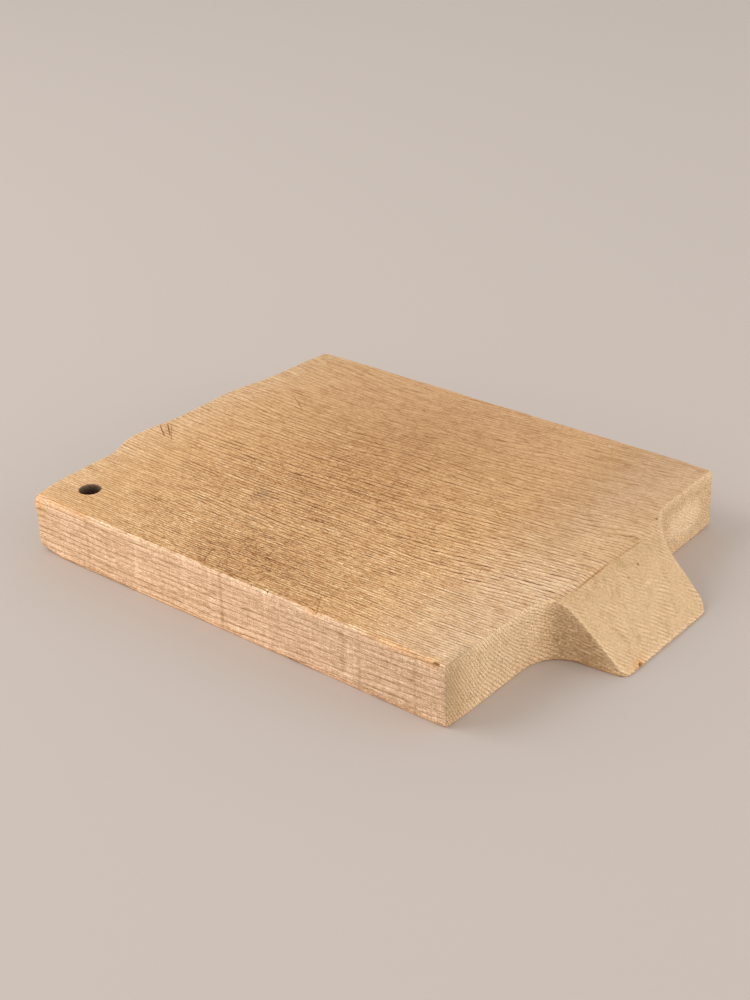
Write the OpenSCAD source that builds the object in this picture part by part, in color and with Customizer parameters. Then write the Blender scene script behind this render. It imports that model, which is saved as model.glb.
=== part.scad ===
// Kitchen chopping board, sawn from one thick oak plank.
// +X runs along the grain towards the handle, +Y across the board, +Z up.
// The origin is the middle of the underside of the whole board, handle included.

/* [Plank] */
// Length of the body, from the straight part of the hole end to the shoulders
body_len = 302.6; // [230:0.1:400]
// Width of the board across the grain
body_w = 253; // [205:1:340]
// Thickness of the plank
body_t = 37; // [20:0.5:60]
// Flat worn along the arrises of the two long edges
arris = 1.5; // [0.5:0.1:4]

/* [Hole end] */
// Distance of the start of the swelling from the near edge
swell_from = 61; // [50:1:80]
// Distance of the crown of the swelling from the near edge
crown_from = 89; // [85:1:105]
// How far the crown stands out past the straight part of the end
crown_out = 8.1; // [0:0.1:14]
// How far the middle of the end stands out past the straight part
middle_out = 3.4; // [0:0.1:10]
// Distance of the near side of that middle part from the near edge
middle_from = 125; // [110:1:140]
// Distance of the far side of that middle part from the near edge
middle_to = 165; // [145:1:175]
// Distance from the near edge of the point where the end turns straight again
straight_from = 205; // [180:1:225]
// How far the end has stepped back at that point
step_back = 3; // [0:0.1:8]
// How far the end has stepped back at the far corner
corner_back = 6.5; // [0:0.1:14]

/* [Handle] */
// How far the handle stands out past the shoulders
handle_len = 46.3; // [35:0.1:80]
// Width of the handle at its root
handle_w = 88; // [70:1:110]
// How much each side of the handle draws in by the tip
handle_taper = 2.5; // [0:0.1:10]
// How far the handle lies to the far side of the middle of the board
handle_shift = 3.5; // [-10:0.5:10]
// Distance of the ridge above the handle's slope from the shoulders
ridge_out = 9; // [2:0.5:20]
// Thickness of the blunt edge at the tip of the handle
tip_t = 2; // [1:0.5:12]
// Radius of the notch between the near shoulder and the handle
near_notch_r = 21.5; // [5:0.5:28]
// Radius of the notch between the far shoulder and the handle
far_notch_r = 30; // [5:0.5:32]

/* [Corners] */
// Radius of the near corner of the hole end
near_end_r = 4.5; // [2:0.5:18]
// Radius of the far corner of the hole end
far_end_r = 4.5; // [1:0.5:18]
// Radius of the near shoulder's corner
near_shoulder_r = 2; // [1:0.5:18]
// Radius of the far shoulder's corner
far_shoulder_r = 2; // [1:0.5:18]
// Radius of the near corner of the handle's tip
near_tip_r = 6; // [1:0.5:16]
// Radius of the far corner of the handle's tip
far_tip_r = 9; // [1:0.5:16]

/* [Hanging hole] */
// Diameter of the hole that the board hangs from
hole_d = 12; // [6:0.5:20]
// Distance of the hole's centre from the straight part of the hole end
hole_from_end = 24.7; // [16:0.1:45]
// Distance of the hole's centre from the near edge
hole_from_edge = 24; // [16:0.5:45]

/* [Hidden] */
$fn = 96;
curve_steps = 8;
past = 1; // how far a cutting shape runs past the face it cuts
oak = [0.72, 0.55, 0.37];

// Outline frame: x = 0 on the shoulders, y = 0 on the near edge.
end_x = -body_len;
crown_x = end_x - crown_out;
middle_x = end_x - middle_out;
straight_x = end_x + step_back;
far_corner_x = end_x + corner_back;
handle_near_y = (body_w - handle_w) / 2 + handle_shift;
handle_far_y = handle_near_y + handle_w;
overall_len = handle_len - crown_x;
middle_of_board = [crown_x + overall_len / 2, body_w / 2];
hole_at = [end_x + hole_from_end, hole_from_edge];

near_end = [end_x, 0];
near_shoulder = [0, 0];
near_root = [0, handle_near_y];
near_side = [near_notch_r, handle_near_y];
near_tip = [handle_len, handle_near_y + handle_taper];
far_tip = [handle_len, handle_far_y - handle_taper];
far_side = [far_notch_r, handle_far_y];
far_root = [0, handle_far_y];
far_shoulder = [0, body_w];
far_end = [far_corner_x, body_w];

// A soft S-shaped run of points from a to b, without b itself.
function soft_run(a, b) = [
    for (i = [0 : curve_steps - 1])
        let (s = i / curve_steps, rise = (1 - cos(180 * s)) / 2)
            [a[0] + (b[0] - a[0]) * rise, a[1] + (b[1] - a[1]) * s]
];

// The hand-sawn line of the hole end, going from the far corner to the near one.
end_line = concat(
    soft_run([straight_x, straight_from], [middle_x, middle_to]),
    soft_run([middle_x, middle_from], [crown_x, crown_from]),
    soft_run([crown_x, crown_from], [end_x, swell_from]),
    [[end_x, swell_from]]
);

function unit(v) = v / norm(v);
function turned(v, angle) = [
    v[0] * cos(angle) - v[1] * sin(angle),
    v[0] * sin(angle) + v[1] * cos(angle)
];

// The arc of radius r that rounds the corner at b, coming from a and going on to c.
function rounded(a, b, c, r) =
    let (
        to_a = unit(a - b),
        to_c = unit(c - b),
        half = acos(to_a * to_c) / 2,
        centre = b + unit(to_a + to_c) * (r / sin(half)),
        start = b + to_a * (r / tan(half)) - centre
    )
    [for (i = [0 : curve_steps]) centre + turned(start, (180 - 2 * half) * i / curve_steps)];

// Wood left in a notch, between the shoulder, the side of the handle and an arc of radius r.
module notch_fill(r) {
    difference() {
        translate([-past, -r]) square(r + past);
        translate([r, -r]) circle(r);
    }
}

module outline() {
    polygon(concat(
        end_line,
        rounded([end_x, swell_from], near_end, near_shoulder, near_end_r),
        rounded(near_end, near_shoulder, near_root, near_shoulder_r),
        [near_root, near_side],
        rounded(near_side, near_tip, far_tip, near_tip_r),
        rounded(near_tip, far_tip, far_side, far_tip_r),
        [far_side, far_root],
        rounded(far_root, far_shoulder, far_end, far_shoulder_r),
        rounded(far_shoulder, far_end, [straight_x, straight_from], far_end_r)
    ));
    translate(near_root) notch_fill(near_notch_r);
    translate(far_root) mirror([0, 1]) notch_fill(far_notch_r);
}

// What is cut away above the handle, from the ridge down to the tip.
module slope_cut() {
    reach = handle_len - ridge_out;
    drop = body_t - tip_t;
    translate([0, body_w + past, 0]) rotate([90, 0, 0]) linear_extrude(body_w + 2 * past)
        polygon([
            [ridge_out, body_t],
            [ridge_out + reach * (1 + past / drop), tip_t - past],
            [handle_len + drop, tip_t - past],
            [handle_len + drop, body_t + past],
            [ridge_out - past * reach / drop, body_t + past]
        ]);
}

// A square bar along the body, turned on its edge, that takes off one arris at height z.
module arris_bar(y, z) {
    side = arris * sqrt(2);
    translate([crown_x - past, y, z]) rotate([45, 0, 0])
        translate([0, -side / 2, -side / 2]) cube([-crown_x + 2 * past, side, side]);
}

module board() {
    color(oak)
    translate([-middle_of_board[0], -middle_of_board[1], 0])
    difference() {
        linear_extrude(body_t) outline();
        slope_cut();
        for (y = [0, body_w], z = [0, body_t]) arris_bar(y, z);
        translate([hole_at[0], hole_at[1], -past]) cylinder(h = body_t + 2 * past, d = hole_d);
    }
}

board();
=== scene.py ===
import math

import bmesh
import bpy
import numpy as np
from mathutils import Matrix, Vector, geometry, noise


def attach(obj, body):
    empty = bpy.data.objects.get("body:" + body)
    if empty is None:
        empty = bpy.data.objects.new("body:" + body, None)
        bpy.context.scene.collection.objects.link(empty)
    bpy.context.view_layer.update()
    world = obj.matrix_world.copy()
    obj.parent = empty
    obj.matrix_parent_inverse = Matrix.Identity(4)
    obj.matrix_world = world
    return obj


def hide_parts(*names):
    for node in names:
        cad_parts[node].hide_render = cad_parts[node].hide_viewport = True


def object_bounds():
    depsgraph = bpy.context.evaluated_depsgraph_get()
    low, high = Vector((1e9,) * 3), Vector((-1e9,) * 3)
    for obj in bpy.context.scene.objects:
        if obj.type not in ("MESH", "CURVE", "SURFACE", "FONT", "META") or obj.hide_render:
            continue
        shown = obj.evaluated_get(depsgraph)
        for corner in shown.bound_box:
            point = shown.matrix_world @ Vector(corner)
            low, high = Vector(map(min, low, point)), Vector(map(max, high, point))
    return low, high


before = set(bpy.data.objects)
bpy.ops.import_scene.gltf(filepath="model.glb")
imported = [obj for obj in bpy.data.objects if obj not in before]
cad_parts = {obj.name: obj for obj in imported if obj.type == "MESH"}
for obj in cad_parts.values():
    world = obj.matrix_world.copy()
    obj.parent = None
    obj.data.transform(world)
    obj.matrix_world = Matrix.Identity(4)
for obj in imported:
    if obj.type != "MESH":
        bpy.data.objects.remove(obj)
cad_low, cad_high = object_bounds()

# ---------------------------------------------------------------------------
# The bench frame: millimetres, x = 0 on the shoulders, y = 0 on the long edge
# near the hanging hole, z = 0 on the underside.
# ---------------------------------------------------------------------------

MM = 0.001
HANDLE_LEN = 46.3
THICK = (cad_high.z - cad_low.z) / MM
WIDTH = (cad_high.y - cad_low.y) / MM
BENCH = np.array([cad_high.x / MM - HANDLE_LEN, cad_low.y / MM, cad_low.z / MM])
RIDGE = 9.0          # from the shoulders to the ridge above the handle's slope
TIP_EDGE = 2.0       # thickness of the handle's blunt tip
SLOPE = (THICK - TIP_EDGE) / (HANDLE_LEN - RIDGE)
OUTLINE_HEIGHT = 1.8     # the plank is at its fullest here, just below the tip's upper edge
WELD_DISTANCE = 1e-6     # metres
TOP_STEP = 2.3           # from vertex to vertex on the top
UNDERSIDE_STEP = 6.0
DENSE_WITHIN = 1.6       # rows of vertices closer to an edge than this keep all its points
HOLE_END = -312          # just past the end with the hanging hole


def smooth(low, high, x):
    """0 below low, 1 above high, and a soft rise between them."""
    t = np.clip((x - low) / (high - low), 0, 1)
    return t * t * (3 - 2 * t)


def ripple(points, size, seed):
    """Soft noise from -1 to 1 at each point; size is one bump's size along x, y and z."""
    p = np.asarray(points, float) / np.asarray(size, float)
    return np.array([noise.noise(Vector((a, b, c + 17.3 * seed))) for a, b, c in p])


# ---------------------------------------------------------------------------
# The outline of the plank, read from the CAD board
# ---------------------------------------------------------------------------

def cut_loops(node, height):
    """The closed loops where a level plane cuts a CAD node, in bench mm, longest first."""
    bm = bmesh.new()
    bm.from_mesh(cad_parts[node].data)
    bmesh.ops.remove_doubles(bm, verts=bm.verts, dist=WELD_DISTANCE)
    everything = bm.verts[:] + bm.edges[:] + bm.faces[:]
    level = (0, 0, height * MM)
    cut = bmesh.ops.bisect_plane(bm, geom=everything, plane_co=level, plane_no=(0, 0, 1))
    edges = [e for e in cut["geom_cut"] if isinstance(e, bmesh.types.BMEdge)]
    beside = {}
    for e in edges:
        a, b = e.verts
        beside.setdefault(a, []).append(b)
        beside.setdefault(b, []).append(a)
    loops = []
    while beside:
        start = here = next(iter(beside))
        loop = []
        while here in beside:
            loop.append(np.array(here.co) / MM - BENCH)
            ahead = beside.pop(here)
            here = next((v for v in ahead if v in beside), start)
        loops.append(np.array(loop)[:, :2])
    bm.free()
    return sorted(loops, key=lambda loop: -np.ptp(loop[:, 0]))


def even_steps(loop, step):
    """The closed loop again, anticlockwise, with a point about every step(x, y) mm."""
    x, y = loop.T
    if np.sum(x * np.roll(y, -1) - y * np.roll(x, -1)) < 0:
        loop = loop[::-1]
    ends = np.vstack([loop, loop[:1]])
    run = np.concatenate([[0], np.cumsum(np.linalg.norm(np.diff(ends, axis=0), axis=1))])
    fine = np.arange(0, run[-1], 0.1)
    fine_xy = np.column_stack([np.interp(fine, run, ends[:, k]) for k in (0, 1)])
    weight = np.cumsum(0.1 / step(fine_xy[:, 0], fine_xy[:, 1]))
    count = int(weight[-1])
    at = np.interp(np.arange(count) * weight[-1] / count, weight - weight[0], fine)
    return np.column_stack([np.interp(at, run, ends[:, k]) for k in (0, 1)])


def inward(loop):
    """The unit vector into the wood at each point of an anticlockwise loop."""
    along = np.roll(loop, -1, 0) - np.roll(loop, 1, 0)
    along /= np.linalg.norm(along, axis=1)[:, None]
    return np.column_stack([-along[:, 1], along[:, 0]])


def distance_to(loop, points):
    """For each point, how far the loop is and which loop point is closest."""
    a, b = loop, np.roll(loop, -1, 0)
    d = b - a
    length2 = (d ** 2).sum(1)
    far, who = [], []
    for chunk in np.array_split(points, max(1, len(points) // 400)):
        rel = chunk[:, None, :] - a[None]
        t = np.clip((rel * d[None]).sum(2) / length2, 0, 1)
        gap = ((rel - t[..., None] * d[None]) ** 2).sum(2)
        best = gap.argmin(1)
        far.append(np.sqrt(gap[np.arange(len(chunk)), best]))
        who.append(best)
    return np.concatenate(far), np.concatenate(who)


def inside(loop, points):
    """True for each point that lies within the loop."""
    a, b = loop, np.roll(loop, -1, 0)
    hit = np.zeros(len(points), int)
    for (ax, ay), (bx, by) in zip(a, b):
        if ay == by:
            continue
        spans = (points[:, 1] >= min(ay, by)) & (points[:, 1] < max(ay, by))
        cross = ax + (points[:, 1] - ay) * (bx - ax) / (by - ay)
        hit += spans & (points[:, 0] < cross)
    return hit % 2 == 1


# ---------------------------------------------------------------------------
# Wear: what years of use took off the plank
# ---------------------------------------------------------------------------

# Knife cuts in the top: from (x, y) to (x, y), how wide and how deep, all in mm.
KNIFE_CUTS = [
    ((-306, 108), (-293, 99), 0.5, 0.45),
    ((-304, 112.5), (-290, 101), 0.5, 0.45),
    ((-301, 113), (-284, 96), 0.4, 0.25),
    ((-266, 187.5), (-250, 177.5), 0.4, 0.3),
    ((-242, 184), (-237, 176), 0.3, 0.16),
    ((-79, 145), (-62, 132), 0.32, 0.22),
    ((-93, 16), (-84, 2), 0.4, 0.2),
    ((-186, 160), (-158, 148), 0.26, 0.10),
    ((-205, 120), (-180, 96), 0.26, 0.10),
    ((-150, 98), (-128, 70), 0.26, 0.10),
    ((-232, 222), (-214, 240), 0.3, 0.14),
    ((-120, 226), (-96, 214), 0.26, 0.10),
    ((-214, 66), (-196, 40), 0.26, 0.10),
    ((-112, 178), (-86, 190), 0.26, 0.09),
    ((-262, 142), (-240, 160), 0.26, 0.09),
    ((-165.5, 1.2), (-172, 17.5), 0.4, 0.28),
    ((-123, 23), (-123.6, 30), 0.35, 0.22),
    ((-88, 3), (-92, 15), 0.4, 0.2),
    ((-134.3, 2.3), (-135.4, 6.5), 0.4, 0.28),
    ((-190, 6.5), (-186, 1.5), 0.3, 0.25),
    ((-184, 7), (-181, 2), 0.3, 0.25),
    ((-176, 6), (-177, 1), 0.3, 0.22),
    ((-169, 7.5), (-164, 3), 0.3, 0.25),
    ((-160, 11), (-155, 2.5), 0.3, 0.28),
    ((-157, 12), (-149, 4), 0.28, 0.22),
    ((-152, 5), (-146, 4.5), 0.3, 0.25),
    ((-134, 5.5), (-127, 4), 0.3, 0.3),
    ((-121, 6), (-116, 3), 0.3, 0.25),
    ((-112, 4.5), (-104, 4), 0.3, 0.2),
    ((-166, 1.6), (-158, 2.2), 0.4, 0.3),
    ((-146, 2.2), (-139, 1.4), 0.4, 0.3),
    ((-127, 2.6), (-119, 1.8), 0.4, 0.3),
    ((-101, 2.8), (-92, 2.0), 0.4, 0.3),
    ((-89, 2.4), (-84, 1.2), 0.4, 0.3),
    ((9.4, 97), (8.8, 128), 0.8, 0.20),
    ((9.0, 134), (9.6, 162), 0.6, 0.12),
]

# Small dark pits in the top: x, y, radius, depth.
PITS = [
    (-148, 29, 0.5, 0.35), (-94.5, 27, 0.6, 0.4), (-95, 37, 0.55, 0.4), (-97, 53, 0.5, 0.3),
    (-108, 45.6, 0.4, 0.3), (-158, 149, 0.6, 0.25), (-119, 136, 0.5, 0.25), (-92, 174, 0.5, 0.25),
    (4, 184, 0.8, 0.5), (16, 146, 0.7, 0.4), (18, 134, 0.6, 0.3), (-131, 17, 0.5, 0.3),
    (-124, 59, 0.4, 0.25), (-66, 163, 0.4, 0.2),
    (-167.6, 3.3, 0.6, 0.5), (-150.4, 1.5, 0.5, 0.4), (-129, 1.4, 0.5, 0.4), (-126, 1.9, 0.4, 0.3),
    (-117.4, 1.5, 0.6, 0.5), (-83.6, 1.5, 0.5, 0.4), (-131, 17.5, 0.7, 0.5),
    (-177.5, 27.4, 0.6, 0.4),
]

# Chips knocked off arrises: centre, half sizes, and the way into the wood.
CHIPS = [
    ((-163, 0.2, 36.9), (2.2, 1.0, 0.8), (0, 1, -1)),
    ((-156.5, 0.1, 36.9), (0.9, 1.1, 0.9), (0, 1, -1)),
    ((-150, 0.3, 36.8), (1.9, 0.9, 0.7), (0, 1, -1)),
    ((-139, 0.1, 36.8), (0.9, 0.9, 0.9), (0, 1, -1)),
    ((-129, 0.2, 36.2), (1.2, 1.1, 1.0), (0, 1, -1)),
    ((-125.5, 0.3, 36.7), (1.0, 0.8, 0.7), (0, 1, -1)),
    ((-118, 0.2, 36.3), (1.3, 0.9, 0.9), (0, 1, -1)),
    ((-105, 0.3, 36.8), (1.8, 1.0, 0.8), (0, 1, -1)),
    ((-94, 0.3, 36.9), (1.5, 0.8, 0.7), (0, 1, -1)),
    ((-84, 0.1, 36.3), (0.9, 1.2, 1.1), (0, 1, -1)),
    ((-6.5, 0.0, 36.2), (2.2, 1.5, 1.3), (0, 1, -0.6)),
    ((-230, 0.2, 36.9), (2.4, 0.9, 0.8), (0, 1, -1)),
    ((-198, 0.2, 36.9), (2.8, 0.8, 0.7), (0, 1, -1)),
    ((-48, 0.2, 36.9), (2.6, 0.8, 0.7), (0, 1, -1)),
    ((1.2, -1.2, 38.0), (3.6, 3.6, 3.6), (-1, 1, -1)),
    ((1.2, -1.2, -1.0), (4.0, 4.0, 4.2), (-1, 1, 1)),
    ((1.0, 254.0, 38.2), (4.0, 4.0, 3.2), (-1, -1, -1)),
    ((0.8, 254.0, -1.0), (4.6, 4.6, 5.2), (-1, -1, 1)),
    ((-303, -0.5, -1.2), (6.0, 6.0, 5.0), (1, 1, 1)),
    ((46.6, 102.5, 1.2), (2.0, 1.3, 1.6), (-1, 0, 0)),
    ((46.6, 98.7, 1.2), (1.2, 0.9, 1.0), (-1, 0, 0)),
]

# How round the arrises are worn: x, y, reach of the spot, and the radius there.
WORN_SPOTS = [
    (0, 0, 8, 2.6), (0, 253, 12, 3.2), (-302, 0, 13, 6.5), (-296, 253, 12, 2.6),
    (-311, 89, 12, 2.6), (46, 92, 8, 1.6), (46, 170, 10, 1.6), (9, 82, 10, 2.2), (16, 178, 12, 5.0),
]


def arris_radius(loop, top):
    """How round the arris is worn at each point of the outline, in mm."""
    x, y = loop.T
    radius = np.full(len(loop), 1.5)
    radius[y < 3] = 2.1 if top else 1.3
    radius[y > WIDTH - 3] = 1.7
    radius[(x > -2) & (x < 2)] = 0.9
    radius[x > 8] = 1.5
    flat = np.column_stack([loop, np.full(len(loop), 0.0 if top else 40.0)])
    radius *= 1 + 0.30 * ripple(flat, (26, 26, 26), 1) + 0.22 * ripple(flat, (5, 5, 5), 2)
    for sx, sy, reach, worn in WORN_SPOTS:
        near = np.exp(-((x - sx) ** 2 + (y - sy) ** 2) / reach ** 2)
        radius += near * np.maximum(worn - radius, 0)
    for _ in range(3):
        radius = (np.roll(radius, 1) + radius + np.roll(radius, -1)) / 3
    room = np.maximum(face_height(loop), TIP_EDGE) * (0.52 if top else 0.36)
    return np.minimum(radius, room)


def face_height(points):
    """Height of the upper face before its arrises are worn: flat top, ridge and slope."""
    x, y = points.T
    bow = 0.9 * np.cos(np.clip((y - 129) / 50, -1, 1) * math.pi / 2)
    slope = THICK - (x - RIDGE - bow + 0.9) * SLOPE
    slope = np.maximum(slope, TIP_EDGE)
    soft = 1.6
    h = np.clip(0.5 + 0.5 * (slope - THICK) / soft, 0, 1)
    return slope * (1 - h) + THICK * h - soft * h * (1 - h)


def top_wear(points):
    """How much the flat top is hollowed and roughened by use, in mm."""
    x, y = points.T
    flat = np.column_stack([points, np.zeros(len(points))])
    hollow = 0.55 * np.exp(-((x + 150) / 105) ** 2 - ((y - 120) / 80) ** 2)
    waves = 0.16 * ripple(flat, (60, 26, 50), 3) + 0.05 * ripple(flat, (14, 5, 9), 4)
    worn = hollow + np.maximum(waves + 0.1, 0)
    return worn * smooth(20, -4, x)


def slope_wear(points):
    """Tool marks across the handle's slope, in mm."""
    x, y = points.T
    flat = np.column_stack([points, np.zeros(len(points))])
    tool = 0.22 * ripple(flat, (9, 30, 20), 5) + 0.12 * ripple(flat, (3, 12, 9), 6)
    return tool * smooth(6, 14, x)


def rounded_drop(gap, radius):
    """How far a rounded arris lies below the face, gap mm in from the edge."""
    inward_gap = np.clip(radius - gap, 0, None)
    return radius - np.sqrt(np.maximum(radius ** 2 - inward_gap ** 2, 0))


def groove(points, start, end, width, depth):
    """Depth of one knife cut at each point, in mm."""
    a, b = np.array(start), np.array(end)
    d = b - a
    t = np.clip(((points - a) @ d) / (d @ d), 0, 1)
    off = np.linalg.norm(points - a - t[:, None] * d, axis=1)
    ends = np.sin(np.pi * np.clip(t, 0.02, 0.98)) ** 0.35
    return depth * ends * np.clip(1 - off / width, 0, 1)


def knock_chips(verts):
    """Pushes every vertex that lies in a chip into the wood, to the chip's floor.

    Returns how chipped each vertex is, from 0 to 1.
    """
    chipped = np.zeros(len(verts))
    for centre, half, way in CHIPS:
        centre, half = np.array(centre, float), np.array(half, float)
        way = np.array(way, float) / np.linalg.norm(way)
        near = np.abs(verts - centre).max(1) < half.max() * 1.3
        if not near.any():
            continue
        rough = 1 + 0.22 * ripple(verts[near], (1.6, 1.6, 1.6), 7)
        p = (verts[near] - centre) / (half * rough[:, None])
        w = way / half
        a, b, c = w @ w, p @ w, (p * p).sum(1) - 1
        push = np.where(c < 0, (-b + np.sqrt(np.maximum(b * b - a * c, 0))) / a, 0)
        verts[near] += push[:, None] * way
        chipped[near] = np.maximum(chipped[near], smooth(0.02, 0.5, push))
    return chipped


# Marks of the saw across the near edge: where along it, half width, and how light (+) or dark (-).
SAW_MARKS = [
    (-217, 1.6, 0.9), (-214, 1.2, 0.6), (-179, 1.3, 0.9), (-160, 1.0, 0.7), (-119.5, 1.4, 1.0),
    (-63, 1.6, 0.9), (-257, 1.2, -0.7), (-152, 1.2, -0.8), (-71, 0.9, 0.5), (-67, 0.8, -0.4),
    (-59, 0.8, 0.5), (-56, 0.8, -0.5), (-236, 1.0, 0.4), (-198, 0.9, -0.4), (-130, 0.9, 0.4),
    (-104, 0.9, -0.3), (-88, 0.8, 0.4), (-36, 1.0, 0.3), (-20, 1.0, -0.4), (-275, 1.0, 0.3),
]
# Spots of colour on the wood: x, y, z, and their reach along x, y and z.
ORANGE_SPOTS = [
    (-284, 0, 37, 14, 3, 3), (-297, 2, 32, 5, 6, 7), (-11, 0, 36, 6, 3, 2.5),
    (-262, 0, 36, 9, 2, 2), (-32, 0.5, 36, 20, 2.4, 1.8), (-86, 0, 36, 5, 2, 1.8),
    (46, 102, 2, 3, 6, 3),
]
GREY_SPOTS = [(-192, 78, 37, 3.5, 5, 6), (0, 3, 22, 3, 7, 15), (-1, 12, 37, 3, 12, 4)]


def saw_marks(verts):
    """How light or dark the marks of the saw make each point of the near edge."""
    x, y, z = verts.T
    tone = np.zeros(len(verts))
    for at, half, light in SAW_MARKS:
        lean = 0.03 * (z - 18)
        tone += light * np.exp(-((x - at - lean) / half) ** 2)
    broken = 0.55 + 0.6 * ripple(verts, (3, 9, 7), 21)
    return tone * np.clip(broken, 0, 1) * (y < 2.5)


def blots(verts, spots):
    """Soft spots of colour, 1 in the middle and 0 outside."""
    tone = np.zeros(len(verts))
    for spot in spots:
        off = (verts - np.array(spot[:3])) / np.array(spot[3:])
        tone = np.maximum(tone, np.exp(-(off ** 2).sum(1)))
    return tone


# ---------------------------------------------------------------------------
# The plank's mesh
# ---------------------------------------------------------------------------

def hex_grid(step):
    """Evenly scattered points over the whole plank."""
    rng = np.random.default_rng(5)
    rows = np.arange(-1, WIDTH + 1, step * 0.866)
    cols = np.arange(HOLE_END, HANDLE_LEN + 1, step)
    grid = np.array([(x + (k % 2) * step / 2, y) for k, y in enumerate(rows) for x in cols])
    return grid + rng.uniform(-0.15, 0.15, grid.shape) * step


def face_points(outline, hole, offsets, step, fine_marks):
    """Where a broad face's vertices go: close to the edges, in the marks, and spread between."""
    sets = []
    for k, gap in enumerate(offsets):
        every = 1 if gap < DENSE_WITHIN else 2
        sets.append((outline + inward(outline) * gap)[k % every::every])
        if gap < DENSE_WITHIN:
            sets.append(hole - inward(hole) * gap)
    sets.append(hex_grid(step))
    if fine_marks:
        for start, end, width, _ in KNIFE_CUTS:
            a, b = np.array(start, float), np.array(end, float)
            length = np.linalg.norm(b - a)
            side = np.array([a[1] - b[1], b[0] - a[0]]) / length
            t = np.arange(-1, length + 1, 0.9) / length
            for off in (-2.2, -1.05, 0, 1.05, 2.2):
                sets.append(a + t[:, None] * (b - a) + side * off * width)
        spokes = np.linspace(0, 2 * math.pi, 10, endpoint=False)
        for x, y, radius, _ in PITS:
            for share in (0.25, 0.7, 1.1, 1.6):
                sets.append(np.column_stack([x + radius * share * np.cos(spokes + share),
                                             y + radius * share * np.sin(spokes + share)]))
        for x in np.arange(RIDGE - 4, RIDGE + 5, 0.8):
            ys = np.arange(64, 200, 1.3)
            sets.append(np.column_stack([np.full(len(ys), x), ys]))
    points = np.vstack(sets)
    keep = inside(outline, points) & ~inside(hole, points)
    points = points[keep]
    closest = offsets[0] * 0.8
    gap, _ = distance_to(outline, points)
    hole_gap, _ = distance_to(hole, points)
    return points[(gap > closest) & (hole_gap > closest)]


def fill_face(outline, hole, points):
    """Triangles over the face between the outline and the hole.

    Returns the points, the triangles, and which points the outline and the hole became.
    """
    n, m = len(outline), len(hole)
    everything = np.vstack([outline, hole, points])
    ring = [(i, (i + 1) % n) for i in range(n)] + [(n + i, n + (i + 1) % m) for i in range(m)]
    co, _, tris, origin, _, _ = geometry.delaunay_2d_cdt(
        [Vector(p) for p in everything], ring, [], 0, 1e-4)
    co = np.array([(c.x, c.y) for c in co])
    tris = np.array([list(t) for t in tris])
    place = np.full(len(everything), -1)
    for new, olds in enumerate(origin):
        for old in olds:
            place[old] = new
    middle = co[tris].mean(1)
    keep = inside(outline, middle) & ~inside(hole, middle)
    return co, tris[keep], place[:n], place[n:n + m]


def ragged(loop, amount, seed):
    """The loop moved in and out a little, as a blunt drill leaves a hole's mouth."""
    flat = np.column_stack([loop, np.zeros(len(loop))])
    return loop - inward(loop) * (amount * (0.5 + ripple(flat, (2.2, 2.2, 2.2), seed)))[:, None]


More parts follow.
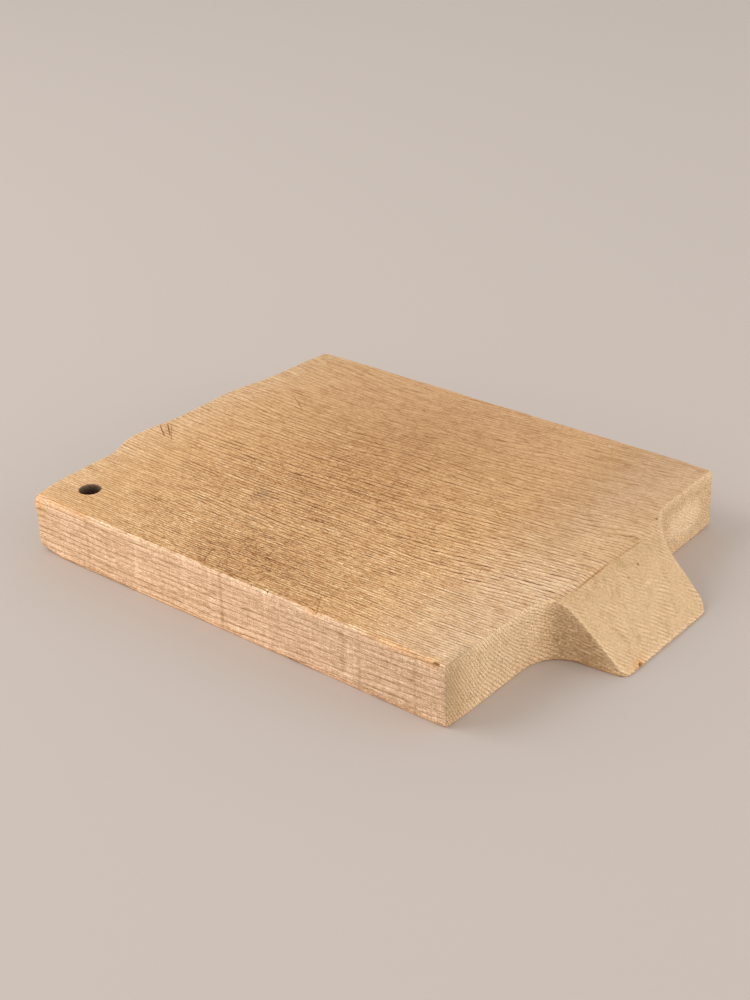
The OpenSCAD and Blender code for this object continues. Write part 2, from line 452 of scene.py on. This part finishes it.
def plank_mesh():
    """The worn plank as one closed mesh in bench mm: its points, its faces and its marks."""
    outline_cad, hole_cad = cut_loops("board", OUTLINE_HEIGHT)[:2]
    outline = even_steps(outline_cad, lambda x, y: np.where(y < 1, 0.75, 1.15))
    hole = even_steps(hole_cad, lambda x, y: np.full(len(x), 0.75))
    hand_sawn = np.column_stack([outline, np.zeros(len(outline))])
    saw_line = 0.28 * (1 + ripple(hand_sawn, (30, 22, 30), 8))
    saw_line = saw_line + 0.10 * (1 + ripple(hand_sawn, (4, 4, 4), 9))
    saw_line *= 1 - 0.7 * smooth(44.5, 45.5, outline[:, 0])
    saw_line *= 1 - 0.8 * np.exp(-((outline[:, 0] / 6) ** 2 + ((outline[:, 1] - WIDTH) / 6) ** 2))
    outline = outline + inward(outline) * saw_line[:, None]

    faces, verts, cut_depth, arris, hole_shade = [], [], [], [], []
    rings = {}
    total = 0
    for top in (True, False):
        offsets = (0.2, 0.5, 0.9, 1.4, 2.0, 2.8, 4.0, 5.6) if top else (0.4, 1.0, 1.8, 3.2)
        mouth = ragged(hole, 0.35 if top else 0.2, 10 if top else 11)
        points = face_points(outline, mouth, offsets, TOP_STEP if top else UNDERSIDE_STEP, top)
        co, tris, edge_at, hole_at = fill_face(outline, mouth, points)
        gap, who = distance_to(outline, co)
        radius = arris_radius(outline, top)[who]
        hole_gap, _ = distance_to(mouth, co)
        mouth_drop = rounded_drop(hole_gap, np.full(len(co), 0.9))
        if top:
            height = face_height(co) - top_wear(co) - slope_wear(co)
            marks = np.zeros(len(co))
            for start, end, width, depth in KNIFE_CUTS:
                marks = np.maximum(marks, groove(co, start, end, width, depth))
            for x, y, size, depth in PITS:
                off = np.hypot(co[:, 0] - x, co[:, 1] - y)
                marks = np.maximum(marks, depth * np.clip(1.3 - off / size, 0, 1))
            height = height - marks - rounded_drop(gap, radius) - mouth_drop
            height = np.maximum(height, TIP_EDGE * 0.5)
        else:
            flat = np.column_stack([co, np.full(len(co), 9.0)])
            marks = np.zeros(len(co))
            height = 0.12 * (1 + ripple(flat, (70, 40, 50), 12)) * smooth(4, 16, gap)
            height = height + rounded_drop(gap, radius) + mouth_drop
            tris = tris[:, ::-1]
        verts.append(np.column_stack([co, height]))
        cut_depth.append(marks)
        arris.append(np.clip(1.2 - gap / radius, 0, 1) * (hole_gap > 3))
        # painted shade: the top and underside darken at the hole's mouth
        hole_shade.append(smooth(0.9, 0.1, hole_gap) * 0.8)
        faces.append(tris + total)
        rings[top] = (edge_at + total, hole_at + total)
        total += len(co)

    verts = np.vstack(verts)
    side_verts, quads = [], []
    shares = np.array([0.08, 0.18, 0.3, 0.42, 0.5, 0.58, 0.7, 0.82, 0.92])
    for k, loop in enumerate((outline, hole)):
        upper, lower = verts[rings[True][k]], verts[rings[False][k]]
        steps = [rings[True][k]]
        for share in shares:
            ring = upper * (1 - share) + lower * share
            if k == 0:
                dent = 0.14 * (1 + ripple(ring, (40, 40, 14), 13))
                dent = dent + 0.05 * (1 + ripple(ring, (6, 6, 6), 14))
                away = np.sin(np.pi * share)
                ring[:, :2] += inward(loop) * (dent * away)[:, None]
            side_verts.append(ring)
            cut_depth.append(np.zeros(len(ring)))
            # painted shade: the hole's wall is darkened
            hole_shade.append(np.full(len(ring), 0.92 * k))
            arris.append(np.full(len(ring), 0.4 if share in (shares[0], shares[-1]) else 0.0))
            steps.append(total + np.arange(len(ring)))
            total += len(ring)
        steps.append(rings[False][k])
        for a, b in zip(steps, steps[1:]):
            quads.append(np.column_stack([a, b, np.roll(b, -1), np.roll(a, -1)]))
    verts = np.vstack([verts] + side_verts)
    quads = np.vstack(quads)
    chipped = knock_chips(verts)
    marks = {
        "cut_depth": np.concatenate(cut_depth),
        "arris": np.concatenate(arris),
        "hole_shade": np.concatenate(hole_shade),
        "chipped": chipped,
        "saw_mark": saw_marks(verts),
        "orange": blots(verts, ORANGE_SPOTS),
        "grey": blots(verts, GREY_SPOTS),
    }
    return verts, [f for part in faces for f in part.tolist()] + quads.tolist(), marks


def build_plank():
    verts, faces, marks = plank_mesh()
    mesh = bpy.data.meshes.new("worn_plank")
    mesh.from_pydata(((verts + BENCH) * MM).tolist(), [], faces)
    mesh.update()
    bm = bmesh.new()
    bm.from_mesh(mesh)
    bmesh.ops.recalc_face_normals(bm, faces=bm.faces)
    bm.to_mesh(mesh)
    bm.free()
    mesh.shade_smooth()
    for name, values in marks.items():
        layer = mesh.attributes.new(name, "FLOAT", "POINT")
        layer.data.foreach_set("value", values.astype(np.float32))
    plank = bpy.data.objects.new("worn_plank", mesh)
    bpy.context.scene.collection.objects.link(plank)
    return plank


plank = build_plank()
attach(plank, "root")
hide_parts("board")

# ---------------------------------------------------------------------------
# The oak: one solid block of grain, so every face shows the same rings and pores
# ---------------------------------------------------------------------------

class Wiring:
    """Adds nodes to one node tree. Any input may be a number, a colour or another node's output."""

    def __init__(self, tree):
        self.tree = tree

    def feed(self, socket, value):
        if isinstance(value, bpy.types.NodeSocket):
            self.tree.links.new(value, socket)
        else:
            socket.default_value = value

    def sum(self, operation, *inputs, clamp=False):
        node = self.tree.nodes.new("ShaderNodeMath")
        node.operation = operation
        node.use_clamp = clamp
        for socket, value in zip(node.inputs, inputs):
            self.feed(socket, value)
        return node.outputs[0]

    def vector(self, operation, *inputs, output="Vector"):
        node = self.tree.nodes.new("ShaderNodeVectorMath")
        node.operation = operation
        for socket, value in zip(node.inputs, inputs):
            self.feed(socket, value)
        return node.outputs[output]

    def split(self, value):
        node = self.tree.nodes.new("ShaderNodeSeparateXYZ")
        self.feed(node.inputs[0], value)
        return node.outputs[0], node.outputs[1], node.outputs[2]

    def join(self, x, y, z):
        node = self.tree.nodes.new("ShaderNodeCombineXYZ")
        for socket, value in zip(node.inputs, (x, y, z)):
            self.feed(socket, value)
        return node.outputs[0]

    def turned(self, place, degrees):
        node = self.tree.nodes.new("ShaderNodeVectorRotate")
        node.rotation_type = "Z_AXIS"
        self.feed(node.inputs["Vector"], place)
        node.inputs["Angle"].default_value = math.radians(degrees)
        return node.outputs[0]

    def cloud(self, place, size, detail=2.0, roughness=0.5):
        """Soft noise about 0.5; size is one blob's size in mm along x, y and z."""
        node = self.tree.nodes.new("ShaderNodeTexNoise")
        self.feed(node.inputs["Vector"], self.vector("DIVIDE", place, size))
        node.inputs["Scale"].default_value = 1
        node.inputs["Detail"].default_value = detail
        node.inputs["Roughness"].default_value = roughness
        return node.outputs[0]

    def cells(self, place, size):
        """Distance to the nearest of many scattered points, and a random number for that point."""
        node = self.tree.nodes.new("ShaderNodeTexVoronoi")
        self.feed(node.inputs["Vector"], self.vector("DIVIDE", place, size))
        node.inputs["Scale"].default_value = 1
        return node.outputs["Distance"], self.split(node.outputs["Color"])[0]

    def soft(self, value, low, high):
        """0 where value is below low, 1 above high, and a soft rise between."""
        node = self.tree.nodes.new("ShaderNodeMapRange")
        node.interpolation_type = "SMOOTHSTEP"
        for name, number in (("Value", value), ("From Min", low), ("From Max", high)):
            self.feed(node.inputs[name], number)
        return node.outputs[0]

    def mix(self, amount, a, b, kind="MIX"):
        node = self.tree.nodes.new("ShaderNodeMix")
        node.data_type = "RGBA"
        node.blend_type = kind
        node.clamp_factor = True
        self.feed(node.inputs[0], amount)
        for socket, value in ((node.inputs[6], a), (node.inputs[7], b)):
            self.feed(socket, value if isinstance(value, bpy.types.NodeSocket) else (*value, 1))
        return node.outputs[2]

    def tinted(self, colour, mask, tint):
        """The colour itself where mask is 0, and multiplied by the tint where it is 1."""
        return self.mix(mask, colour, self.mix(1, colour, tint, "MULTIPLY"))

    def times(self, *values):
        total = values[0]
        for value in values[1:]:
            total = self.sum("MULTIPLY", total, value)
        return total

    def shade(self, mask, change):
        """1 where mask is 0 and 1 + change where it is 1."""
        return self.sum("MULTIPLY_ADD", mask, change, 1)

    def swing(self, value, amount):
        """A cloud turned into a factor that swings about 1."""
        return self.sum("MULTIPLY_ADD", value, amount, 1 - amount / 2)

    def mark(self, name):
        node = self.tree.nodes.new("ShaderNodeAttribute")
        node.attribute_name = name
        return node.outputs["Fac"]


RING_WIDTH = 1.6     # mm, across the rings
TOP_OAK = (0.775, 0.456, 0.206)
EDGE_OAK = (0.850, 0.552, 0.332)
END_OAK = (0.860, 0.605, 0.355)
SLOPE_OAK = (0.810, 0.545, 0.305)
HANDLE_END_OAK = (0.800, 0.530, 0.305)
ORANGE_STAIN = (1.0, 0.72, 0.36)
GREY_DIRT = (0.33, 0.26, 0.17)
# painted shade for the inside of the hanging hole
HOLE_SHADE = (0.045, 0.022, 0.012)
FAR_BELOW = 200      # mm, so a wide area of the top reaches down through the plank
BUMP_STRENGTH = 0.6
BUMP_HEIGHT = 0.0004     # metres


class Oak(Wiring):
    """The plank's wood: where each point lies, which face it is on, and the grain inside it.

    Each mask is 1 on its own part of the plank and 0 elsewhere.
    """

    def __init__(self, tree):
        super().__init__(tree)
        object_place = tree.nodes.new("ShaderNodeTexCoord").outputs["Object"]
        in_mm = self.vector("MULTIPLY", object_place, (1 / MM, 1 / MM, 1 / MM))
        self.place = self.vector("SUBTRACT", in_mm, tuple(BENCH))
        self.x, self.y, self.z = self.split(self.place)
        normal = tree.nodes.new("ShaderNodeNewGeometry").outputs["Normal"]
        nx, ny, self.nz = self.split(normal)

        # the faces
        self.top = self.soft(self.nz, 0.78, 0.95)
        self.long_edge = self.soft(self.sum("ABSOLUTE", ny), 0.6, 0.9)
        self.end = self.soft(self.sum("ABSOLUTE", nx), 0.35, 0.62)
        self.cut_face = self.sum("MAXIMUM", self.long_edge, self.end)
        self.sloping = self.sum("MULTIPLY", self.end, self.soft(self.nz, 0.3, 0.6))
        self.upright = self.sum("SUBTRACT", self.end, self.sloping)
        self.far_face = self.times(self.upright, self.soft(self.y, 170, 200))
        self.arris = self.mark("arris")

        # parts of the top: its end by the handle, its middle, and where the grain is quiet
        self.by_handle = self.sum("MULTIPLY", self.top, self.soft(self.x, -70, -5))
        self.middle = self.times(self.top, self.soft(self.x, -30, -95),
                                 self.soft(self.x, -285, -205), self.soft(self.y, 135, 60))
        far_side = self.sum("MULTIPLY", self.top, self.soft(self.y, 75, 230))
        hole_end = self.sum("MULTIPLY", self.top, self.soft(self.x, -200, -290))
        quieter = self.sum("MAXIMUM", self.sum("MULTIPLY", far_side, 0.68),
                           self.sum("MULTIPLY", hole_end, 0.45))
        self.quiet = self.sum("SUBTRACT", 1, quieter)

        # the grain
        self.fibre = self.cloud(self.place, (28, 0.75, 0.75), 2, 0.6)
        self.hair = self.cloud(self.place, (3.0, 0.45, 0.45), 1, 0.5)
        self.speckle = self.cloud(self.place, (0.75, 0.6, 0.6), 1, 0.6)
        self.patch = self.cloud(self.place, (13, 6, 6), 3, 0.65)
        self.ring = self.growth_rings()
        self.early = self.early_wood()
        self.pores = self.open_pores()

        # wear
        self.used = self.darkened_by_use()
        self.scratches = self.knife_scratches()

    def spread(self, at, reach):
        """1 in the middle of a wide area about a point of the top, fading outwards."""
        off = self.vector("SUBTRACT", self.place, (*at, THICK))
        off = self.vector("DIVIDE", off, (*reach, FAR_BELOW))
        square = self.vector("DOT_PRODUCT", off, off, output="Value")
        return self.sum("EXPONENT", self.sum("MULTIPLY", square, -1))

    def growth_rings(self):
        """How far through its growth ring each point lies, from 0 to 1."""
        along = self.sum("ADD", self.x, 300)
        drift = self.sum("MULTIPLY", along, self.sum("MULTIPLY_ADD", along, -0.00022, 0.035))
        in_handle = self.sum("MAXIMUM", self.sum("SUBTRACT", self.x, 5), 0)
        drift = self.sum("MULTIPLY_ADD", in_handle, 0.23, drift)
        steep = self.sum("EXPONENT", self.sum("DIVIDE", self.y, -38))
        rise = self.sum("MULTIPLY_ADD", steep, -64.6, self.sum("MULTIPLY", self.y, 0.55))

        # the rings wander, less so on the handle
        calm = self.soft(self.x, 3, 13)
        wide = self.sum("MULTIPLY_ADD", self.cloud(self.place, (120, 40, 40), 1), 9, -4.5)
        small = self.sum("MULTIPLY_ADD", self.cloud(self.place, (80, 8, 8), 1), 2.4, -1.2)
        small = self.sum("MULTIPLY", small, self.shade(calm, -0.7))
        fine = self.sum("MULTIPLY_ADD", self.cloud(self.place, (20, 1.8, 1.8), 1), 0.8, -0.4)
        fine = self.sum("MULTIPLY", fine, self.shade(calm, -0.85))
        wander = self.sum("ADD", wide, self.sum("ADD", small, fine))

        # further out from the heart they lie closer together
        field = self.sum("ADD", self.sum("ADD", self.z, rise), self.sum("ADD", drift, wander))
        bend = self.sum("EXPONENT", self.sum("MULTIPLY_ADD", field, 1 / 22, -25 / 22))
        bend = self.sum("LOGARITHM", self.sum("ADD", bend, 1), math.e)
        count = self.sum("MULTIPLY_ADD", field, 0.25, self.sum("MULTIPLY", bend, 6.6))
        return self.sum("FRACT", self.sum("MULTIPLY", count, 1.6 / RING_WIDTH))

    def early_wood(self):
        """1 in the porous band that starts each ring. It is thinner on the cut faces."""
        band = self.sum("MULTIPLY_ADD", self.cut_face, -0.07, 0.26)
        band = self.sum("MULTIPLY_ADD", self.sloping, -0.06, band)
        fading = self.sum("SUBTRACT", 1, self.soft(self.ring, 0.03, band))
        return self.sum("ADD", fading, self.soft(self.ring, 0.95, 1.0), clamp=True)

    def open_pores(self):
        """Pores: in rows on the top, more scattered on the sawn edges and the end grain."""
        rows = self.sum("MULTIPLY", self.early, self.shade(self.cut_face, -0.45))
        rows = self.sum("MULTIPLY_ADD", self.middle, 0.16, rows)
        wander = self.sum("MULTIPLY_ADD", self.cloud(self.place, (90, 6, 6), 1), 2.4, -1.2)
        wavy = self.vector("ADD", self.place, self.join(0, wander, 0))
        vessel, chance = self.cells(wavy, (19, 0.62, 0.62))
        by_face = self.sum("MULTIPLY", self.sum("SUBTRACT", self.end, self.long_edge), 0.09)
        reach = self.sum("ADD", self.sum("MULTIPLY_ADD", rows, 0.36, 0.15), by_face)
        pores = self.soft(self.sum("SUBTRACT", reach, vessel), 0.0, 0.07)
        depth = self.sum("MULTIPLY_ADD", chance, 0.6, 0.55)
        pores = self.sum("MULTIPLY", pores, depth, clamp=True)
        cluster = self.soft(self.cloud(self.place, (45, 14, 14), 1), 0.32, 0.62)
        return self.times(pores, self.sum("MULTIPLY_ADD", cluster, 0.4, 0.6), self.quiet,
                          self.shade(self.arris, -0.5), self.shade(self.sloping, -0.55),
                          self.shade(self.long_edge, -0.30))

    def darkened_by_use(self):
        """1 where handling has darkened the middle of the top."""
        used = self.sum("MAXIMUM", self.spread((-165, 140), (85, 100)),
                        self.spread((-145, 22), (50, 34)))
        blotch = self.cloud(self.place, (55, 22, 22), 3, 0.6)
        used = self.sum("MULTIPLY", used, self.sum("MULTIPLY_ADD", blotch, 1.6, 0.2))
        return self.sum("MULTIPLY", self.top, used, clamp=True)

    def knife_scratches(self):
        """Fine scratches over the top, in four directions."""
        scratches = None
        for degrees, offset in ((-38, 0), (24, 900), (71, 1800), (-66, 2700)):
            way = self.vector("ADD", self.turned(self.place, degrees), (offset, 0, 0))
            line = self.soft(self.cloud(way, (20, 0.55, 40), 1), 0.64, 0.73)
            scratches = line if scratches is None else self.sum("MAXIMUM", scratches, line)
        return self.times(scratches, self.top, self.sum("MULTIPLY_ADD", self.used, 0.6, 0.4))

    def ring_tone(self):
        """The rings alone: 1 is the wood's middle tone, less is darker."""
        late = self.sum("MULTIPLY", self.soft(self.ring, 0.30, 0.55), 0.10)
        lines = self.sum("ADD", self.shade(self.early, -0.46), late)
        uneven = self.swing(self.cloud(self.place, (50, 7, 7), 2, 0.6), 2.4)
        above = self.vector("ADD", self.place, (0, 0, 300))
        bold = self.soft(self.cloud(above, (26, 7, 7), 2, 0.6), 0.47, 0.62)
        strength = self.times(self.quiet, uneven, self.shade(self.by_handle, -0.28),
                              self.shade(self.long_edge, -0.35), self.shade(self.upright, -0.25),
                              self.shade(self.far_face, -0.7),
                              self.shade(self.sloping, self.sum("MULTIPLY_ADD", bold, 0.85, -0.88)))
        return self.sum("MULTIPLY_ADD", self.sum("SUBTRACT", lines, 1), strength, 1)

    def wood_tone(self):
        """Rings, fibres and pores together, on wood that has never been used."""
        grain = self.sum("ADD", self.sum("MULTIPLY_ADD", self.fibre, 0.8, -0.40),
                         self.sum("MULTIPLY_ADD", self.hair, 0.8, -0.40))
        grain = self.sum("ADD", grain, self.sum("MULTIPLY_ADD", self.speckle, 0.75, -0.375))
        strength = self.times(self.sum("MULTIPLY_ADD", self.quiet, 0.9, 0.35),
                              self.shade(self.sloping, -0.62), self.shade(self.by_handle, -0.32),
                              self.shade(self.middle, 0.30))
        grain = self.sum("MULTIPLY_ADD", grain, strength, 1)
        streak = self.soft(self.cloud(self.place, (18, 0.7, 0.7), 2, 0.6), 0.52, 0.70)
        above = self.vector("ADD", self.place, (0, 0, 90))
        glint = self.cloud(above, (11, 4, 4), 3, 0.65)

        # pores that are cut across show as dots on the end grain
        dots = self.soft(self.cells(self.place, (5, 1.15, 1.15))[0], 0.42, 0.16)
        dots = self.sum("MULTIPLY", dots, self.sum("MULTIPLY_ADD", self.early, 0.5, 0.5))
        end_grain = self.sum("MULTIPLY_ADD", self.far_face, -0.6, self.upright)
        end_grain = self.sum("MULTIPLY_ADD", self.sloping, 0.25, end_grain)
        dots = self.sum("MULTIPLY", dots, end_grain)
        return self.times(self.ring_tone(), grain, self.shade(streak, -0.16),
                          self.shade(self.soft(self.patch, 0.50, 0.70), -0.13),
                          self.shade(self.soft(glint, 0.55, 0.72), 0.10),
                          self.shade(self.pores, -0.86), self.shade(dots, -0.36))

    def worn_tone(self):
        """The wood's tone with handling, saw marks, scratches, cuts and chips on it, and painted
        shade with handling dirt in the near notch.
        """
        hand = self.sum("MULTIPLY", self.end, self.soft(self.y, 28, 2))
        # painted shade, with handling dirt: the walls of the near notch and the handle's near side
        # are darkened
        notch_shade_and_dirt = self.times(self.spread((24, 78), (24, 17)), self.soft(self.x, 0, 8),
                           self.sum("SUBTRACT", 1, self.sloping), self.soft(self.nz, 0.6, 0.3))
        slope_head = self.sum("MULTIPLY", self.sloping, self.soft(self.x, 30, 9))
        # the far shoulder is paler in its middle and darker towards its rim
        off = self.vector("SUBTRACT", self.place, (0, 222, 17))
        off = self.vector("DIVIDE", off, (60, 26, 14))
        pale_middle = self.soft(self.vector("LENGTH", off, output="Value"), 1.05, 0.35)
        pale_middle = self.sum("MULTIPLY", self.far_face, self.sum("MULTIPLY_ADD", pale_middle, 0.22, -0.11))
        chatter = self.swing(self.cloud(self.place, (0.8, 40, 9), 1), 0.36)
        chatter = self.sum("SUBTRACT", chatter, 1)
        saw = self.mark("saw_mark")
        tone = self.times(self.wood_tone(), self.shade(self.used, -0.16), self.shade(hand, -0.22),
                          self.shade(self.arris, 0.10), self.shade(notch_shade_and_dirt, -0.36),
                          self.shade(slope_head, -0.09), self.shade(pale_middle, 1),
                          self.shade(chatter, self.long_edge),
                          self.shade(self.sum("MAXIMUM", saw, 0), 0.22),
                          self.shade(self.sum("MINIMUM", saw, 0), 0.42))

        speck, odds = self.cells(self.place, (3.4, 0.85, 0.85))
        specks = self.times(self.soft(speck, 0.36, 0.22), self.soft(odds, 0.45, 0.6), self.top,
                            self.sum("MULTIPLY_ADD", self.used, 0.8, 0.2), self.quiet)
        pale_scratch = self.spread((24, 144), (0.7, 2.8))
        cuts = self.sum("MULTIPLY", self.mark("cut_depth"), 2.8, clamp=True)
        chips = self.sum("MULTIPLY", self.mark("chipped"), self.soft(self.patch, 0.35, 0.55))
        return self.times(tone, self.shade(self.scratches, -0.36), self.shade(specks, -0.65),
                          self.shade(pale_scratch, 0.18), self.shade(cuts, -0.68),
                          self.shade(chips, -0.72))

    def face_colour(self):
        """The colour of each face before its grain."""
        top, x, y = self.top, self.x, self.y
        notches = self.sum("MULTIPLY", self.long_edge, self.soft(x, 2, 8))
        colour = self.mix(top, EDGE_OAK, TOP_OAK)
        colour = self.mix(self.end, colour, END_OAK)
        colour = self.mix(notches, colour, END_OAK)
        colour = self.mix(self.sloping, colour, SLOPE_OAK)
        colour = self.mix(self.sum("MULTIPLY", top, self.soft(x, -75, -5)), colour, HANDLE_END_OAK)
        far_half = self.soft(y, 90, 140)
        for mask, tint in (
                (self.times(top, self.soft(x, -75, -45), far_half), (0.90, 0.87, 0.82)),
                (self.times(top, self.soft(x, -28, -8), far_half), (1.06, 1.05, 1.01)),
                (self.times(top, self.soft(x, -268, -303)), (1.05, 1.13, 1.29)),
                (self.times(self.long_edge, self.soft(self.z, 4, 0.5), 0.5), (1.0, 0.80, 0.52)),
                (self.times(top, self.soft(y, 90, 255)), (0.88, 0.89, 0.95)),
                # painted shade: the long edges darken towards the shoulders, where less light
                # reaches
                (self.times(self.long_edge, self.soft(x, -180, 0)), (0.87, 0.88, 0.91))):
            colour = self.tinted(colour, mask, tint)
        return colour

    def colour(self):
        """The finished colour. Dark wood is redder than pale wood, most of all on the top."""
        tone = self.worn_tone()
        green = self.sum("POWER", tone, self.sum("MULTIPLY_ADD", self.top, 0.25, 1.27))
        blue = self.sum("POWER", tone, self.sum("MULTIPLY_ADD", self.top, 0.50, 1.65))
        colour = self.mix(1, self.face_colour(), self.join(tone, green, blue), "MULTIPLY")
        colour = self.tinted(colour, self.sum("MULTIPLY", self.mark("orange"), 0.60), ORANGE_STAIN)
        colour = self.mix(self.sum("MULTIPLY", self.mark("grey"), 0.30), colour, GREY_DIRT)
        # painted shade: the hole's wall and mouth are made nearly black
        return self.mix(self.mark("hole_shade"), colour, HOLE_SHADE)

    def relief(self):
        """The height of the fibres, pores and scratches, for the bump."""
        fibres = self.sum("MULTIPLY_ADD", self.fibre, 0.8, self.sum("MULTIPLY", self.speckle, 0.2))
        return self.sum("ADD", self.sum("MULTIPLY_ADD", self.pores, -1.0, self.hair),
                        self.sum("ADD", fibres, self.sum("MULTIPLY", self.scratches, -0.8)))


def oak_material():
    material = bpy.data.materials.new("worn_oak")
    material.use_nodes = True
    shader = material.node_tree.nodes["Principled BSDF"]
    oak = Oak(material.node_tree)
    oak.feed(shader.inputs["Base Color"], oak.colour())
    oak.feed(shader.inputs["Roughness"], oak.sum("MULTIPLY_ADD", oak.fibre, -0.12, 0.74))
    shader.inputs["Specular IOR Level"].default_value = 0.22
    bump = material.node_tree.nodes.new("ShaderNodeBump")
    bump.inputs["Strength"].default_value = BUMP_STRENGTH
    bump.inputs["Distance"].default_value = BUMP_HEIGHT
    oak.feed(bump.inputs["Height"], oak.relief())
    oak.feed(shader.inputs["Normal"], bump.outputs[0])
    return material


plank.data.materials.append(oak_material())

# ---------------------------------------------------------------------------
# Camera, floor and light
# ---------------------------------------------------------------------------

LENS = 63.16                                 # mm, on a 36 mm sensor
LOOKS_ALONG = (-0.57315, 0.66815, -0.47442)
LOOKS_AT = (-158.0, 136.9, 18.0)             # mm: x and y from the bench's zero, z from the floor
AWAY = 1.0306                                # metres from there
ROLL = -2.34                                 # degrees
FLOOR_COLOUR = (0.61, 0.533, 0.479, 1)


def add_camera():
    camera_data = bpy.data.cameras.new("camera")
    camera_data.sensor_width = 36
    camera_data.lens = LENS
    camera = bpy.data.objects.new("camera", camera_data)
    bpy.context.scene.collection.objects.link(camera)
    bpy.context.scene.camera = camera
    ahead = Vector(LOOKS_ALONG).normalized()
    x, y, z = LOOKS_AT
    middle = Vector((BENCH[0] + x, BENCH[1] + y, z)) * MM
    camera.location = middle - ahead * AWAY
    turn = ahead.to_track_quat("-Z", "Y").to_matrix().to_4x4()
    roll = Matrix.Rotation(math.radians(ROLL), 4, "Z")
    camera.matrix_world = Matrix.Translation(camera.location) @ turn @ roll


add_camera()

bpy.ops.mesh.primitive_plane_add(size=30, location=(0, 0, cad_low.z))
floor = bpy.context.object
floor.name = "floor"
floor_paint = bpy.data.materials.new("pale_floor")
floor_paint.use_nodes = True
paint_shader = floor_paint.node_tree.nodes["Principled BSDF"]
paint_shader.inputs["Base Color"].default_value = FLOOR_COLOUR
paint_shader.inputs["Roughness"].default_value = 0.95
paint_shader.inputs["Specular IOR Level"].default_value = 0.1
floor.data.materials.append(floor_paint)

world = bpy.data.worlds.new("studio")
bpy.context.scene.world = world
world.use_nodes = True

# the studio glows most along the horizon
sky = Wiring(world.node_tree)
background = world.node_tree.nodes["Background"]
up = sky.split(world.node_tree.nodes.new("ShaderNodeTexCoord").outputs["Generated"])[2]
glow = sky.sum("MULTIPLY_ADD", sky.sum("ABSOLUTE", up), -1.1, 1.48)
sky.feed(background.inputs["Strength"], glow)
background.inputs["Color"].default_value = (1, 1, 1, 1)


def soft_light(name, at, aim, size, power):
    data = bpy.data.lights.new(name, "AREA")
    data.shape = "SQUARE"
    data.size = size
    data.energy = power
    lamp = bpy.data.objects.new(name, data)
    bpy.context.scene.collection.objects.link(lamp)
    lamp.location = at
    lamp.rotation_euler = (Vector(aim) - Vector(at)).to_track_quat("-Z", "Y").to_euler()


soft_light("window", (-1.5, -1.0, 1.7), (0, 0.2, 0), 1.5, 20)
soft_light("far_wall", (2.2, 0.6, 1.0), (0, 0, 0), 1.6, 9)
bpy.context.scene.view_settings.view_transform = "Standard"
